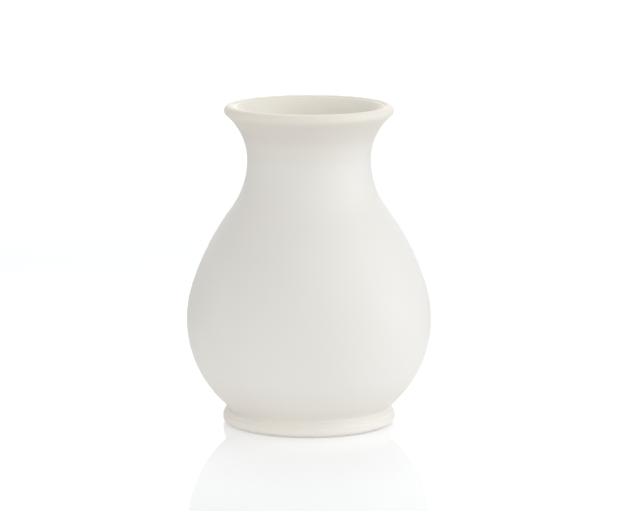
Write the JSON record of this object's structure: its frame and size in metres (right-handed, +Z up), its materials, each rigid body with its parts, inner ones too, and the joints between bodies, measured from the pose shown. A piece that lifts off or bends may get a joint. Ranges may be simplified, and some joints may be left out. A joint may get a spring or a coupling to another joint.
{
  "type": "ceramic bud vase",
  "caption": "Small pear-shaped white ceramic vase with a flared round lip, narrow neck and foot ring, for holding a few short stems in water.",
  "frame": {"origin": "centre of the foot, on the surface that the vase stands on", "axes": "+Z up along the vase's axis of symmetry, out of the mouth; the vase is round, so X and Y are free"},
  "size_m": [0.1146, 0.1146, 0.15],
  "materials": {
    "fired_clay": "bare fired white clay, fine and dry",
    "slip": "bare fired slip, same clay as the pot",
    "liner_glaze": "satin, warm off-white",
    "outer_glaze": "matt white glaze, no clear highlight"
  },
  "bodies": {
    "root": {"vessel_body": "fired_clay", "foot_ring": "fired_clay", "luting_slip": "slip", "liner_glaze": "liner_glaze", "outer_glaze": "outer_glaze"}
  },
  "joints": []
}
